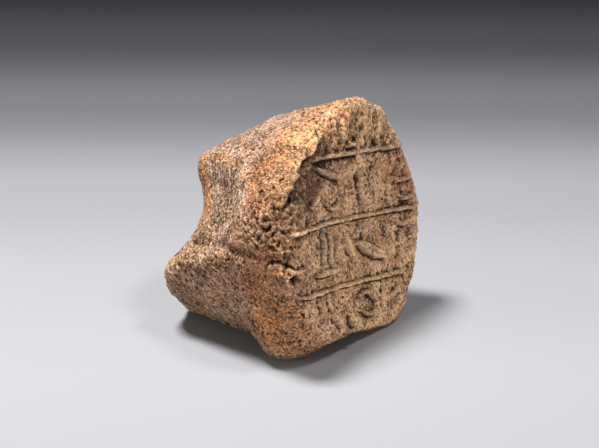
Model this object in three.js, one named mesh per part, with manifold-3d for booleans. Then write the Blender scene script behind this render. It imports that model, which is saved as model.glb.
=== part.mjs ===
// The stamped end of a fired-clay funerary cone, broken off behind its face and lying on its side.
// Millimetres, +Z up. The form is worked out about the middle of the stamped face, which looks towards +X
// and leans back a little; at the end it is set down with the middle of its footprint at the origin.

import * as THREE from "three";
import { mergeVertices } from "three/addons/utils/BufferGeometryUtils.js";
import Module from "manifold-3d";

// Driving sizes.
const FACE_RADIUS = 40; // middle of the face to its rim
const BODY_LENGTH = 58.5; // face to the break behind it
const DROP_RUN = 57; // the cone's axis falls by BODY_DROP over this run behind the face
const BODY_DROP = 14.5;
const TAPER = 0.215; // radius lost for each millimetre behind the face
const FACE_LEAN = 6.5; // degrees that the face leans back
const REST_HEIGHT = 40.7; // middle of the face above the surface that it lies on
const FACE_DISH = 1.8; // how far the face's edge stands above its middle

// Worn edges.
const RIM_ROUNDING = 5;
const NEAR_RIM_WEAR = 1.4; // how much more the rim is worn on its -Y side
const BREAK_ROUNDING = 5;
const CORNER_ROUNDING = 4;
const BITE_ROUNDING = 7;
const LOBE_ROUNDING = 5;
const BULGE_ROUNDING = 8;
const DENT_ROUNDING = 3;
const CHIP_ROUNDING = 1.5;
const FOOT_ROUNDING = 0.8;

// The stamp's relief, which grows with the face.
const STAMP_TURN = -10.7; // degrees that the rows slope on the face
const ROW_HEIGHT = 0.5175 * FACE_RADIUS;
const MIDDLE_RULE = 0.0375 * FACE_RADIUS; // the middle dividing line above the middle of the face
const RULE_WIDTH = 0.06 * FACE_RADIUS;
const RULE_RISE = 0.0275 * FACE_RADIUS;
const RULE_STEP = 0.15 * FACE_RADIUS;
const RULE_SAG = 0.055 * FACE_RADIUS; // how far each line bends down at its left end
const SAG_START = 0.2 * FACE_RADIUS; // from this far left of the middle
const SAG_RUN = 0.6 * FACE_RADIUS;
const STROKE_WIDTH = 0.055 * FACE_RADIUS;
const STROKE_RISE = 0.0225 * FACE_RADIUS;
const STROKE_TOP = 0.55; // width of a stroke's top against its foot
const RELIEF_ROOT = 0.025 * FACE_RADIUS; // how far the relief reaches into the face
const FALLING_OFF = -0.055 * FACE_RADIUS; // relief stops where the face has dropped this far

// How finely the surface is divided.
const SPHERE_DETAIL = 17;
const FACE_CROWDING = 0.35; // draws more of the triangles to the face
const MARCH_STEP = 1;
const HALVINGS = 18;
const RIM_REACH = 0.2 * FACE_RADIUS; // the worn rim stays within this of the face's middle plane
const SHORTEST_EDGE = 0.04;
const THINNEST = 0.04; // triangles thinner than this are turned
const TURN_GAIN = 1.5; // and only to become this many times thicker
const TURN_FACING = 0.7; // with both still facing the way they did, as a cosine

const rad = THREE.MathUtils.degToRad;
const vec = (x, y, z) => new THREE.Vector3(x, y, z);
const unit = (x, y, z) => vec(x, y, z).normalize();
const toward = (origin, direction, run) => origin.clone().addScaledVector(direction, run);

// A place on the cone: a share of its length behind the face, and of its radius to the right and up.
const place = (behind, side, up) => vec(-behind * BODY_LENGTH, side * FACE_RADIUS, up * FACE_RADIUS);
const radii = (along, side, up) => place(-along, side, up);

const faceOut = unit(Math.cos(rad(FACE_LEAN)), 0, Math.sin(rad(FACE_LEAN)));
const faceUp = unit(-Math.sin(rad(FACE_LEAN)), 0, Math.cos(rad(FACE_LEAN)));
const faceRight = vec(0, 1, 0);

// Signed forms: negative inside, about a millimetre for each millimetre from the surface.
const sphere = (p, centre, radius) => p.distanceTo(centre) - radius;
const halfSpace = (p, point, out) => p.dot(out) - point.dot(out);

function ellipsoid(p, centre, size) {
  const q = p.clone().sub(centre).divide(size);
  const n = q.length();
  return (n * (n - 1)) / Math.max(q.divide(size).length(), 1e-9);
}

function rod(p, start, end, radius) {
  const along = end.clone().sub(start);
  const share = p.clone().sub(start).dot(along) / along.lengthSq();
  return p.distanceTo(toward(start, along, THREE.MathUtils.clamp(share, 0, 1))) - radius;
}

// Cuts one form back to another, and joins two, with the edge between them rounded over.
function cut(a, b, rounding) {
  const h = THREE.MathUtils.clamp(0.5 - (0.5 * (b - a)) / rounding, 0, 1);
  return b + (a - b) * h + rounding * h * (1 - h);
}
const join = (a, b, rounding) => -cut(-a, -b, rounding);

// The hand-shaped cone, unevenly swollen near its face.
// Each swelling: direction on the face and width in degrees, and height as a share of the radius.
const SWELLINGS = [
  [-38, 27, 0.145],
  [-58, 12, 0.075],
  [-98, 24, -0.125],
  [165, 30, 0.025],
  [-165, 14, -0.05],
  [45, 36, -0.112],
  [98, 26, -0.088],
  [130, 16, -0.045],
  [50, 9, 0.035],
  [-66, 12, 0.04],
];
const SWELLING_REACH = 0.6; // share of the length over which they fade
const BEFORE_WEAR = 1.05; // the cone's radius at the face before its edge wore down

const bodyAxis = unit(-DROP_RUN, 1, -BODY_DROP);
const bodyUp = toward(faceUp, bodyAxis, -faceUp.dot(bodyAxis)).normalize();
const bodyRight = vec(0, 0, 0).crossVectors(bodyAxis, bodyUp);

function body(p) {
  const behind = p.dot(bodyAxis);
  const off = toward(p, bodyAxis, -behind);
  const angle = THREE.MathUtils.radToDeg(Math.atan2(off.dot(bodyUp), off.dot(bodyRight)));
  const fade = Math.exp(-Math.max(behind, 0) / (SWELLING_REACH * BODY_LENGTH));
  let radius = BEFORE_WEAR * FACE_RADIUS - TAPER * behind;
  for (const [direction, width, share] of SWELLINGS) {
    const away = THREE.MathUtils.euclideanModulo(angle - direction + 180, 360) - 180;
    radius += share * FACE_RADIUS * fade * Math.exp(-((away / width) ** 2));
  }
  return (off.length() - radius) * 0.975;
}

function stampedFace(p) {
  const share = Math.min(Math.hypot(p.dot(faceRight), p.dot(faceUp)) / FACE_RADIUS, 1);
  return p.dot(faceOut) + FACE_DISH * (0.45 - share ** 2);
}

function rimWear(p) {
  const nearness = THREE.MathUtils.clamp(-p.y / FACE_RADIUS, 0, 1);
  return RIM_ROUNDING * (1 + NEAR_RIM_WEAR * nearness ** 2);
}

// Large hollow on the near side, and the scar at the face's upper left edge: a sphere sunk to a given point.
function sunkSphere(deepest, out, share) {
  const radius = share * FACE_RADIUS;
  return { centre: toward(deepest, out, radius), radius };
}
const hollow = sunkSphere(place(0.56, -0.625, 0.225), unit(-0.54, -0.79, 0.285), 1.25);
const scar = sunkSphere(place(0.07, -0.82, 0.43), unit(0.55, -0.8, 0.22), 0.52);

// What the cone keeps after breaking and wear, from the back to the front and down to the side it lies on.
function form(p) {
  let f = body(p);
  f = cut(f, halfSpace(p, place(1, 0, 0.2), unit(-1, -0.1, 0.04)), BREAK_ROUNDING);
  f = cut(f, halfSpace(p, place(0.815, -0.25, 0.475), unit(-0.58, 0, 0.81)), CORNER_ROUNDING);
  f = cut(f, -sphere(p, hollow.centre, hollow.radius), DENT_ROUNDING);
  f = cut(f, -rod(p, place(1, -0.83, 0.14), place(1.37, 0.1, -0.22), 0.475 * FACE_RADIUS), BITE_ROUNDING);
  f = join(f, rod(p, place(0.85, -0.025, -0.675), place(0.51, -0.325, -0.625), 0.34 * FACE_RADIUS), LOBE_ROUNDING);
  f = cut(f, halfSpace(p, place(0.667, -0.55, -0.805), unit(-0.15, -0.7, -0.7)), DENT_ROUNDING);
  f = join(f, ellipsoid(p, place(0.2, -0.475, -0.65), radii(0.2, 0.375, 0.4)), BULGE_ROUNDING);
  f = cut(f, stampedFace(p), rimWear(p));
  f = cut(f, -sphere(p, scar.centre, scar.radius), DENT_ROUNDING);
  f = join(f, ellipsoid(p, place(0.055, -0.88, -0.17), radii(0.09, 0.11, 0.12)), DENT_ROUNDING);
  f = cut(f, -ellipsoid(p, place(-0.05, 0.84, 0.34), radii(0.08, 0.12, 0.1)), CHIP_ROUNDING);
  return cut(f, halfSpace(p, vec(0, 0, -REST_HEIGHT), vec(0, 0, -1)), FOOT_ROUNDING);
}

// How far along a ray from the origin the form is first met, coming in from the far end.
function meet(origin, direction, far, near) {
  const value = (run) => form(toward(origin, direction, run));
  let outer = far;
  while (outer > near && value(outer - MARCH_STEP) > 0) outer -= MARCH_STEP;
  let inner = outer - MARCH_STEP;
  for (let k = 0; k < HALVINGS; k++) {
    const middle = (inner + outer) / 2;
    if (value(middle) > 0) outer = middle;
    else inner = middle;
  }
  return outer;
}

// Turns a ray towards the face's direction, so that the face gets more of the triangles.
function crowded(ray) {
  const side = toward(ray, faceOut, -ray.dot(faceOut));
  if (side.length() < 1e-6) return ray;
  const angle = ray.angleTo(faceOut);
  const turned = angle - FACE_CROWDING * Math.sin(angle);
  return toward(side.normalize().multiplyScalar(Math.sin(turned)), faceOut, Math.cos(turned));
}

const core = place(0.44, 0, -0.3);

function skin() {
  const shell = weld(new THREE.IcosahedronGeometry(1, SPHERE_DETAIL));
  const points = shell.attributes.position;
  for (let i = 0; i < points.count; i++) {
    const ray = crowded(vec(0, 0, 0).fromBufferAttribute(points, i).normalize());
    points.setXYZ(i, ...toward(core, ray, meet(core, ray, 3 * FACE_RADIUS, 0)).toArray());
  }
  return shell;
}

// Places on the stamp: right and up along its own rows, and out from the worn surface.
const stampRight = faceRight.clone().applyAxisAngle(faceOut, rad(STAMP_TURN));
const stampUp = faceUp.clone().applyAxisAngle(faceOut, rad(STAMP_TURN));
const onStampPlane = (x, y) => toward(toward(vec(0, 0, 0), stampRight, x), stampUp, y);
const faceHeight = (x, y) => meet(onStampPlane(x, y), faceOut, RIM_REACH, -RIM_REACH);
const onStamp = (x, y, out) => toward(onStampPlane(x, y), faceOut, faceHeight(x, y) + out);

// A raised ridge along a path on the stamp, with sloping sides and ends that run down into the face.
function ridge(path, width, rise) {
  const corners = [];
  path.forEach(([x, y], i) => {
    const [startX, startY] = path[Math.max(i - 1, 0)];
    const [endX, endY] = path[Math.min(i + 1, path.length - 1)];
    const run = Math.hypot(endX - startX, endY - startY);
    const left = [(startY - endY) / run, (endX - startX) / run];
    const atEnd = i === 0 || i === path.length - 1;
    const half = (atEnd ? STROKE_TOP : 1) * (width / 2);
    const top = atEnd ? -RELIEF_ROOT / 2 : rise;
    const section = [[-1, -RELIEF_ROOT], [-STROKE_TOP, top], [STROKE_TOP, top], [1, -RELIEF_ROOT]];
    for (const [across, out] of section) {
      corners.push(onStamp(x + left[0] * across * half, y + left[1] * across * half, out));
    }
  });
  const geometry = new THREE.BufferGeometry().setFromPoints(corners);
  geometry.setIndex(tubeFaces(path.length, 4));
  return geometry;
}

// Triangles of a closed tube of equal sections, each with its corners in turn.
function tubeFaces(sections, corners) {
  const faces = [];
  for (let i = 0; i + 1 < sections; i++) {
    for (let k = 0; k < corners; k++) {
      const [a, b] = [i * corners + k, i * corners + ((k + 1) % corners)];
      faces.push(a, a + corners, b, b, a + corners, b + corners);
    }
  }
  const last = (sections - 1) * corners;
  for (let k = 1; k + 1 < corners; k++) {
    faces.push(0, k, k + 1, last, last + k + 1, last + k);
  }
  return faces;
}

// Kinds of stroke: length and width against the row's height and the usual width, turn in degrees, bend.
const KINDS = {
  upright: { length: 0.58, turn: 92, width: 1 },
  tilted: { length: 0.5, turn: 80, width: 1.1 },
  short: { length: 0.3, turn: 76, width: 1 },
  slant: { length: 0.32, turn: 46, width: 1.1 },
  flat: { length: 0.45, turn: 9, width: 1 },
  bar: { length: 0.6, turn: 3, width: 1.3 },
  leaning: { length: 0.7, turn: -24, width: 1.5 },
  thick: { length: 0.6, turn: -26, width: 2.2, rise: 1.5 },
  bowed: { length: 0.5, turn: -4, width: 1, bend: -0.2 },
};

// The rows from the top. Each stroke's place is along its row, as a share of the face's radius,
// and above the line under the row, as a share of the row's height.
const ROWS = [
  { short: [[-0.2, 0.38], [-0.08, 0.42], [0.35, 0.24]], flat: [[-0.16, 0.15]], slant: [[0.2, 0.35]] },
  {
    leaning: [[-0.36, 0.7]],
    bowed: [[-0.3, 0.36], [0.77, 0.28]],
    slant: [[-0.57, 0.36], [0.31, 0.7], [0.69, 0.6]],
    upright: [[0.12, 0.52]],
    short: [[0.5, 0.34]],
  },
  {
    upright: [[-0.54, 0.6], [-0.3, 0.57]],
    tilted: [[-0.42, 0.64], [0.7, 0.4]],
    bar: [[-0.41, 0.18]],
    slant: [[-0.12, 0.6], [0.08, 0.8], [0.58, 0.76]],
    short: [[0.21, 0.76], [0.3, 0.14], [0.88, 0.36]],
    thick: [[0.33, 0.42]],
    bowed: [[0.8, 0.8]],
  },
  {
    slant: [[-0.51, 0.84], [-0.1, 0.5], [0.71, 0.68]],
    short: [[-0.36, 0.78], [0.6, 0.6]],
    thick: [[0.19, 0.64]],
    tilted: [[0.45, 0.58]],
  },
];

function strokePath(x, y, { length, turn, bend = 0 }, width) {
  const size = length * ROW_HEIGHT;
  const toe = width / 2 / size;
  const shares = bend ? [0, toe, 0.35, 0.65, 1 - toe, 1] : [0, toe, 1 - toe, 1];
  return shares.map((share) => {
    const local = vec((share - 0.5) * size, bend * size * (1 - (2 * share - 1) ** 2), 0);
    local.applyAxisAngle(vec(0, 0, 1), rad(turn));
    return [x + local.x, y + local.y];
  });
}

const onFace = ([x, y]) => Math.hypot(x, y) < FACE_RADIUS && faceHeight(x, y) > FALLING_OFF;
const underLine = (row) => MIDDLE_RULE + (1 - row) * ROW_HEIGHT;

function rowOfStrokes(row, index) {
  const placed = Object.entries(row).flatMap(([name, spots]) => spots.map((spot) => [KINDS[name], ...spot]));
  return placed.map(([kind, along, above]) => {
    const width = kind.width * STROKE_WIDTH;
    const path = strokePath(along * FACE_RADIUS, underLine(index) + above * ROW_HEIGHT, kind, width);
    return ridge(path.filter(onFace), width, (kind.rise ?? 1) * STROKE_RISE);
  });
}

// A dividing line across the face, bent down at its left end and stopped at the worn rim.
function rule(y) {
  const path = [];
  for (let x = -FACE_RADIUS; x <= FACE_RADIUS; x += RULE_STEP) {
    const bent = Math.max(-x - SAG_START, 0) / SAG_RUN;
    path.push([x, y - RULE_SAG * bent ** 2]);
  }
  return ridge(path.filter(onFace), RULE_WIDTH, RULE_RISE);
}

const wasm = await Module();
wasm.setup();

function weld(geometry) {
  geometry.deleteAttribute("normal");
  geometry.deleteAttribute("uv");
  return mergeVertices(geometry, 1e-4);
}

function solidOf(geometry) {
  return new wasm.Manifold(
    new wasm.Mesh({
      numProp: 3,
      vertProperties: geometry.attributes.position.array,
      triVerts: new Uint32Array(geometry.index.array),
    }),
  );
}

function geometryOf(solid) {
  const mesh = solid.getMesh();
  const geometry = new THREE.BufferGeometry();
  geometry.setAttribute("position", new THREE.BufferAttribute(mesh.vertProperties, 3));
  geometry.setIndex(new THREE.BufferAttribute(mesh.triVerts, 1));
  geometry.computeVertexNormals();
  return geometry;
}

// Joining leaves some needles and slivers where two surfaces cross. Edges too short to matter are closed up,
// and the longest side of each sliver is turned to run across its neighbour.
function withoutSlivers(geometry) {
  const position = geometry.attributes.position;
  const points = Array.from({ length: position.count }, (_, i) => vec(0, 0, 0).fromBufferAttribute(position, i));
  let faces = [];
  for (let i = 0; i < geometry.index.count; i += 3) faces.push([...geometry.index.array.slice(i, i + 3)]);
  for (let closed = true; closed; ) [faces, closed] = closeShortestEdge(faces, points);
  for (let turned = 1; turned > 0; ) turned = turnLongSides(faces, points);
  const tidied = new THREE.BufferGeometry().setFromPoints(faces.flat().map((i) => points[i]));
  const welded = weld(tidied);
  welded.computeVertexNormals();
  return welded;
}

function neighboursOf(faces) {
  const near = new Map();
  for (const face of faces) {
    for (const i of face) {
      if (!near.has(i)) near.set(i, new Set());
      for (const k of face) if (k !== i) near.get(i).add(k);
    }
  }
  return near;
}

function closeShortestEdge(faces, points) {
  const near = neighboursOf(faces);
  let best = null;
  for (const [i, around] of near) {
    for (const k of around) {
      const length = points[i].distanceTo(points[k]);
      if (i > k || length > (best?.length ?? SHORTEST_EDGE)) continue;
      const shared = [...around].filter((j) => near.get(k).has(j));
      if (shared.length === 2) best = { i, k, length };
    }
  }
  if (!best) return [faces, false];
  const kept = faces.filter((face) => !(face.includes(best.i) && face.includes(best.k)));
  return [kept.map((face) => face.map((j) => (j === best.k ? best.i : j))), true];
}

const normalOf = (a, b, c) => vec(0, 0, 0).crossVectors(b.clone().sub(a), c.clone().sub(a));
const thickness = (a, b, c) => normalOf(a, b, c).length() / Math.max(a.distanceTo(b), b.distanceTo(c), c.distanceTo(a));

function turnLongSides(faces, points) {
  const sides = new Map();
  faces.forEach((face, f) => face.forEach((i, k) => sides.set(`${i} ${face[(k + 1) % 3]}`, [f, face[(k + 2) % 3]])));
  const used = new Set();
  for (const [side, [f, c]] of sides) {
    const [a, b] = side.split(" ").map(Number);
    const [g, d] = sides.get(`${b} ${a}`);
    if (used.has(f) || used.has(g) || sides.has(`${c} ${d}`) || sides.has(`${d} ${c}`)) continue;
    const [pa, pb, pc, pd] = [a, b, c, d].map((i) => points[i]);
    const before = Math.min(thickness(pa, pb, pc), thickness(pb, pa, pd));
    const after = Math.min(thickness(pa, pd, pc), thickness(pd, pb, pc));
    if (before > THINNEST || after < TURN_GAIN * before) continue;
    const [first, second] = [normalOf(pa, pb, pc), normalOf(pb, pa, pd)];
    const facing = (first.length() > second.length() ? first : second).normalize();
    if (normalOf(pa, pd, pc).normalize().dot(facing) < TURN_FACING) continue;
    if (normalOf(pd, pb, pc).normalize().dot(facing) < TURN_FACING) continue;
    faces[f] = [a, d, c];
    faces[g] = [d, b, c];
    for (const k of [f, g]) used.add(k);
    for (const key of [`${c} ${d}`, `${d} ${c}`]) sides.set(key, [f, a]);
  }
  return used.size;
}

const relief = [...[0, 1, 2].map((row) => rule(underLine(row))), ...ROWS.flatMap(rowOfStrokes)];
const joined = relief.map(solidOf).reduce((whole, next) => whole.add(next), solidOf(skin()));
const cone = withoutSlivers(geometryOf(joined));

// Set down with the middle of its footprint at the origin.
cone.computeBoundingBox();
const { min, max } = cone.boundingBox;
cone.translate(-(min.x + max.x) / 2, -(min.y + max.y) / 2, -min.z);

const clay = new THREE.MeshStandardMaterial({ color: 0xa87c56, roughness: 0.92, metalness: 0 });
const stampedCone = new THREE.Mesh(cone, clay);
stampedCone.name = "stamped_clay_cone";

const part = new THREE.Group();
part.add(stampedCone);

export default part;
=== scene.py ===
# The stamped end of a fired-clay funerary cone, lying on a plain pale floor in soft studio light.
# The clay's worn surface is made here over the form of the solid stamped_clay_cone. The form is worked
# out in millimetres about the middle of the stamped face, and then set in the solid's own place.

import math

import bpy
import numpy as np
from mathutils import Matrix, Vector


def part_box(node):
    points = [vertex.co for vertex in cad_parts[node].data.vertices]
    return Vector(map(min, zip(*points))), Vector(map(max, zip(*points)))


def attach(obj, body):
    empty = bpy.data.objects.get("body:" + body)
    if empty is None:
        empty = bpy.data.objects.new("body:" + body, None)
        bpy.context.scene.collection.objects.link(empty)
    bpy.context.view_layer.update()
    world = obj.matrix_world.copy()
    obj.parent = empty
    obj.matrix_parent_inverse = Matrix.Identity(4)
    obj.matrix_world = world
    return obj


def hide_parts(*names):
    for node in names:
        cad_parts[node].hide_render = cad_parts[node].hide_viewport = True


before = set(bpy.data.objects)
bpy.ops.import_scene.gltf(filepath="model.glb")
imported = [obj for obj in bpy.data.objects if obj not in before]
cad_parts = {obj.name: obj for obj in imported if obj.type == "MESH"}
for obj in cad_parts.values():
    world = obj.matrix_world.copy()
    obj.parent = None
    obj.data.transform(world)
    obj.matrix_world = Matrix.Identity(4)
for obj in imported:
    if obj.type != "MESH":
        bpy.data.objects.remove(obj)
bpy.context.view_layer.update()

NODE = "stamped_clay_cone"
MM = 0.001

# Sizes of the cone, in millimetres and degrees.
FACE_RADIUS = 40.0
BODY_LENGTH = 58.5
DROP_RUN = 57.0
BODY_DROP = 14.5
TAPER = 0.215
TAPER_SLOPE = 0.975
FACE_LEAN = 6.5
REST_HEIGHT = 40.7
FACE_DISH = 1.8
DISH_MIDDLE = 0.45

# How widely edges are worn round.
RIM_ROUNDING = 5.0
NEAR_RIM_WEAR = 1.4
UPPER_RIM_WEAR = 1.6
BREAK_ROUNDING = 5.0
CORNER_ROUNDING = 4.0
BITE_ROUNDING = 7.0
LOBE_ROUNDING = 5.0
BULGE_ROUNDING = 8.0
DENT_ROUNDING = 3.0
CHIP_ROUNDING = 1.5
FOOT_ROUNDING = 0.8

# The stamp.
STAMP_TURN = -10.7
ROW_HEIGHT = 0.507 * FACE_RADIUS
MIDDLE_RULE = 0.015 * FACE_RADIUS
RULE_WIDTH = 0.046 * FACE_RADIUS
RULE_RISE = 0.03 * FACE_RADIUS
RULE_SAG = 0.025 * FACE_RADIUS
SAG_START = 0.2 * FACE_RADIUS
SAG_RUN = 0.6 * FACE_RADIUS
RULE_GAP = 4.2
GAP_ENDS = (0.4, 1.0)
STROKE_WIDTH = 0.04 * FACE_RADIUS
STROKE_RISE = 0.032 * FACE_RADIUS
MOST_RELIEF = 0.05 * FACE_RADIUS
TIP_NARROWING = 0.6
RIDGE_TOP = 0.12
RIDGE_FOOT = 0.46
SHADE_DROP = 0.75

# How finely the surface is divided, and how far out and how closely its rays are followed.
GRID = 98
EXTRA_FINENESS = 2.0
NEAR_SIDE = 0.3
BANDS = 120
SECTORS = 72
FARTHEST = 90.0
MARCH_STEP = 1.0
HALVINGS = 16


def vec(x, y, z):
    return np.array((x, y, z), float)


def unit(v):
    return v / np.linalg.norm(v)


def place(behind, side, up):
    """A place on the cone: shares of its length behind the face, and of its radius right and up."""
    return vec(-behind * BODY_LENGTH, side * FACE_RADIUS, up * FACE_RADIUS)


def radii(along, side, up):
    return place(-along, side, up)


lean = math.radians(FACE_LEAN)
FACE_OUT = vec(math.cos(lean), 0, math.sin(lean))
FACE_UP = vec(-math.sin(lean), 0, math.cos(lean))
FACE_RIGHT = vec(0, 1, 0)
CORE = place(0.44, 0, -0.3)


# Signed forms: negative inside, about a millimetre for each millimetre from the surface.
def sphere(p, centre, radius):
    return np.linalg.norm(p - centre, axis=-1) - radius


def half_space(p, point, out):
    return (p - point) @ out


def ellipsoid(p, centre, size):
    q = (p - centre) / size
    n = np.linalg.norm(q, axis=-1)
    return n * (n - 1) / np.maximum(np.linalg.norm(q / size, axis=-1), 1e-9)


def rod(p, start, end, radius):
    along = end - start
    share = np.clip((p - start) @ along / (along @ along), 0, 1)
    return np.linalg.norm(p - start - share[..., None] * along, axis=-1) - radius


def cut(a, b, rounding):
    h = np.clip(0.5 - 0.5 * (b - a) / rounding, 0, 1)
    return b + (a - b) * h + rounding * h * (1 - h)


def join(a, b, rounding):
    return -cut(-a, -b, rounding)


# Each swelling: direction on the face and width in degrees, and height as a share of the radius.
SWELLINGS = [
    (-38, 27, 0.145),
    (-58, 12, 0.075),
    (-98, 24, -0.125),
    (165, 30, 0.025),
    (-165, 14, -0.05),
    (45, 36, -0.112),
    (98, 26, -0.088),
    (130, 16, -0.045),
    (50, 9, 0.035),
    (-66, 12, 0.04),
]
SWELLING_REACH = 0.6
BEFORE_WEAR = 1.05
BODY_AXIS = unit(vec(-DROP_RUN, 1, -BODY_DROP))
BODY_UP = unit(FACE_UP - BODY_AXIS * (FACE_UP @ BODY_AXIS))
BODY_RIGHT = np.cross(BODY_AXIS, BODY_UP)


def body(p):
    """The hand-shaped cone, unevenly swollen near its face."""
    behind = p @ BODY_AXIS
    off = p - behind[..., None] * BODY_AXIS
    angle = np.degrees(np.arctan2(off @ BODY_UP, off @ BODY_RIGHT))
    fade = np.exp(-np.maximum(behind, 0) / (SWELLING_REACH * BODY_LENGTH))
    radius = BEFORE_WEAR * FACE_RADIUS - TAPER * behind
    for direction, width, share in SWELLINGS:
        away = (angle - direction + 180) % 360 - 180
        radius = radius + share * FACE_RADIUS * fade * np.exp(-((away / width) ** 2))
    return (np.linalg.norm(off, axis=-1) - radius) * TAPER_SLOPE


def stamped_face(p):
    share = np.minimum(np.hypot(p @ FACE_RIGHT, p @ FACE_UP) / FACE_RADIUS, 1)
    return p @ FACE_OUT + FACE_DISH * (DISH_MIDDLE - share**2)


# The part of the rim that is worn most: how far right and up its middle is, and its spread each way.
WORN_RIGHT, WORN_UP = -14, 33
WORN_WIDTH, WORN_HEIGHT = 13, 12


def rim_wear(p):
    nearness = np.clip(-p[..., 1] / FACE_RADIUS, 0, 1)
    aside = (p[..., 1] - WORN_RIGHT) / WORN_WIDTH
    above = (p[..., 2] - WORN_UP) / WORN_HEIGHT
    upper_left = np.exp(-(aside**2) - above**2)
    return RIM_ROUNDING * (1 + NEAR_RIM_WEAR * nearness**2 + UPPER_RIM_WEAR * upper_left)


def sunk_sphere(deepest, out, share):
    radius = share * FACE_RADIUS
    return deepest + unit(out) * radius, radius


# What breaking and wear took away, and what they left.
BREAK = place(1, 0, 0.2), unit(vec(-1, -0.1, 0.04))
CORNER = place(0.815, -0.25, 0.475), unit(vec(-0.58, 0, 0.81))
HOLLOW = sunk_sphere(place(0.56, -0.625, 0.225), vec(-0.54, -0.79, 0.285), 1.25)
BITE = place(1, -0.83, 0.14), place(1.37, 0.1, -0.22), 0.475 * FACE_RADIUS
LOBE = place(0.85, -0.025, -0.675), place(0.51, -0.325, -0.625), 0.34 * FACE_RADIUS
LOWER_SIDE = place(0.667, -0.55, -0.805), unit(vec(-0.15, -0.7, -0.7))
BULGE = place(0.2, -0.475, -0.65), radii(0.2, 0.375, 0.4)
SCAR = sunk_sphere(place(0.07, -0.82, 0.43), vec(0.55, -0.8, 0.22), 0.52)
RIM_LUMP = place(0.055, -0.88, -0.17), radii(0.09, 0.11, 0.12)
RIM_CHIP = place(-0.05, 0.84, 0.34), radii(0.08, 0.12, 0.1)
FOOT = vec(0, 0, -REST_HEIGHT), vec(0, 0, -1)


def form(p):
    """What the cone keeps after breaking and wear, from its back to its front and underside."""
    f = body(p)
    f = cut(f, half_space(p, *BREAK), BREAK_ROUNDING)
    f = cut(f, half_space(p, *CORNER), CORNER_ROUNDING)
    f = cut(f, -sphere(p, *HOLLOW), DENT_ROUNDING)
    f = cut(f, -rod(p, *BITE), BITE_ROUNDING)
    f = join(f, rod(p, *LOBE), LOBE_ROUNDING)
    f = cut(f, half_space(p, *LOWER_SIDE), DENT_ROUNDING)
    f = join(f, ellipsoid(p, *BULGE), BULGE_ROUNDING)
    f = cut(f, stamped_face(p), rim_wear(p))
    f = cut(f, -sphere(p, *SCAR), DENT_ROUNDING)
    f = join(f, ellipsoid(p, *RIM_LUMP), DENT_ROUNDING)
    f = cut(f, -ellipsoid(p, *RIM_CHIP), CHIP_ROUNDING)
    return cut(f, half_space(p, *FOOT), FOOT_ROUNDING)


def meet(directions):
    """Where rays from the core leave the form for the last time."""
    outer = np.full(len(directions), FARTHEST)
    waiting = np.arange(len(directions))
    while len(waiting):
        run = outer[waiting] - MARCH_STEP
        outside = form(CORE + directions[waiting] * run[:, None]) > 0
        waiting = waiting[outside & (run > MARCH_STEP)]
        outer[waiting] -= MARCH_STEP
    inner = outer - MARCH_STEP
    for _ in range(HALVINGS):
        middle = (inner + outer) / 2
        outside = form(CORE + directions * middle[:, None]) > 0
        outer = np.where(outside, middle, outer)
        inner = np.where(outside, inner, middle)
    return CORE + directions * outer[:, None]


# The mesh: an icosahedron, each face divided into a fine grid, with its rays spread so that the
# triangles come out alike all over, and finer where the stamp and the near side are.
GOLDEN = (1 + math.sqrt(5)) / 2
# Neighbouring corners lie 2 apart, and points are the same when they agree to this many parts.
NEIGHBOURS_WITHIN = 2.1
SAME_PLACES = 1e5
CLOSE_LOOK = unit(vec(0.75, -0.62, 0.25))


def icosahedron():
    corners = []
    for short in (-1, 1):
        for long in (-GOLDEN, GOLDEN):
            corners += [(0, short, long), (short, long, 0), (long, 0, short)]
    corners = np.array(corners, float)
    gaps = np.linalg.norm(corners[:, None] - corners, axis=2)
    near = (gaps > 0) & (gaps < NEIGHBOURS_WITHIN)
    faces = []
    for i in range(12):
        for j in range(i + 1, 12):
            for k in range(j + 1, 12):
                if near[i, j] and near[j, k] and near[i, k]:
                    out = np.linalg.det(corners[[i, j, k]]) > 0
                    faces.append((i, j, k) if out else (i, k, j))
    return corners, faces


def fine_sphere():
    """Directions evenly round a sphere, and the triangles between them."""
    corners, faces = icosahedron()
    spots = [(i, j) for i in range(GRID + 1) for j in range(GRID + 1 - i)]
    number = {spot: n for n, spot in enumerate(spots)}
    small = []
    for i, j in spots:
        if i + j < GRID:
            small.append((number[i, j], number[i + 1, j], number[i, j + 1]))
        if i + j < GRID - 1:
            small.append((number[i + 1, j], number[i + 1, j + 1], number[i, j + 1]))
    small = np.array(small)
    shares = np.array([(GRID - i - j, i, j) for i, j in spots], float) / GRID
    points = np.concatenate([shares @ corners[list(face)] for face in faces])
    triangles = np.concatenate([small + n * len(spots) for n in range(len(faces))])
    points /= np.linalg.norm(points, axis=1)[:, None]
    rounded = np.round(points * SAME_PLACES)
    _, first, which = np.unique(rounded, axis=0, return_index=True, return_inverse=True)
    return points[first], which.ravel()[triangles]


def aimed(angle, around):
    """Directions by their angle from the close look, and around it."""
    side = unit(np.cross(CLOSE_LOOK, vec(0, 0, 1)))
    other = np.cross(CLOSE_LOOK, side)
    sideways = np.cos(around)[..., None] * side + np.sin(around)[..., None] * other
    return np.cos(angle)[..., None] * CLOSE_LOOK + np.sin(angle)[..., None] * sideways


def band_areas(angles):
    """The form's area in each band around the close look."""
    around = np.linspace(0, 2 * math.pi, SECTORS + 1)
    directions = aimed(*np.meshgrid(angles, around, indexing="ij"))
    grid = meet(directions.reshape(-1, 3)).reshape(BANDS + 1, SECTORS + 1, 3)
    down = np.diff(grid, axis=0)[:, :-1]
    across = np.diff(grid, axis=1)[:-1]
    return np.linalg.norm(np.cross(down, across), axis=2).sum(axis=1)


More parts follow.
